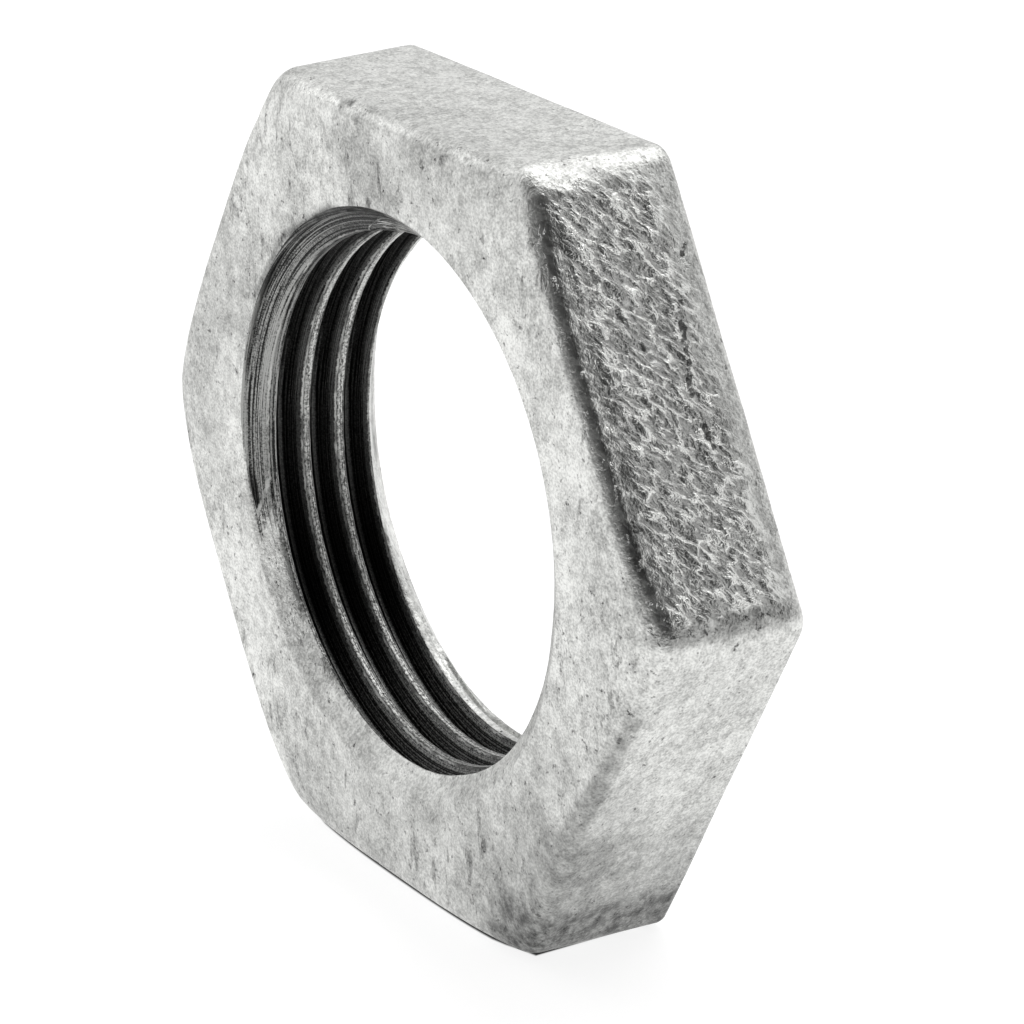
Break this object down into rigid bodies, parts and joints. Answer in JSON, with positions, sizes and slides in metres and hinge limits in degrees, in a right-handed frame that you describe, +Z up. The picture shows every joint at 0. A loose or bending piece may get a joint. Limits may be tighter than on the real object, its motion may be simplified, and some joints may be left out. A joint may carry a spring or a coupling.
{
  "type": "pipe backnut",
  "caption": "Hexagonal pipe backnut in galvanised malleable iron, tapped right through with a parallel pipe thread, with a crowned front face and a flat seat",
  "frame": {"origin": "middle of the footprint of the nut standing on one of its flats: the bottom flat lies in z = 0", "axes": "+Y along the bore, from the crowned front face (-Y) to the flat seat (+Y); +Z up through the middle of the top flat; +X through a corner of the hexagon"},
  "size_m": [0.0526, 0.01, 0.046],
  "materials": {
    "galvanised_iron": "hot-dip galvanised, as cast, with the thread cut afterwards"
  },
  "bodies": {
    "root": {"backnut": "galvanised_iron"}
  },
  "joints": []
}
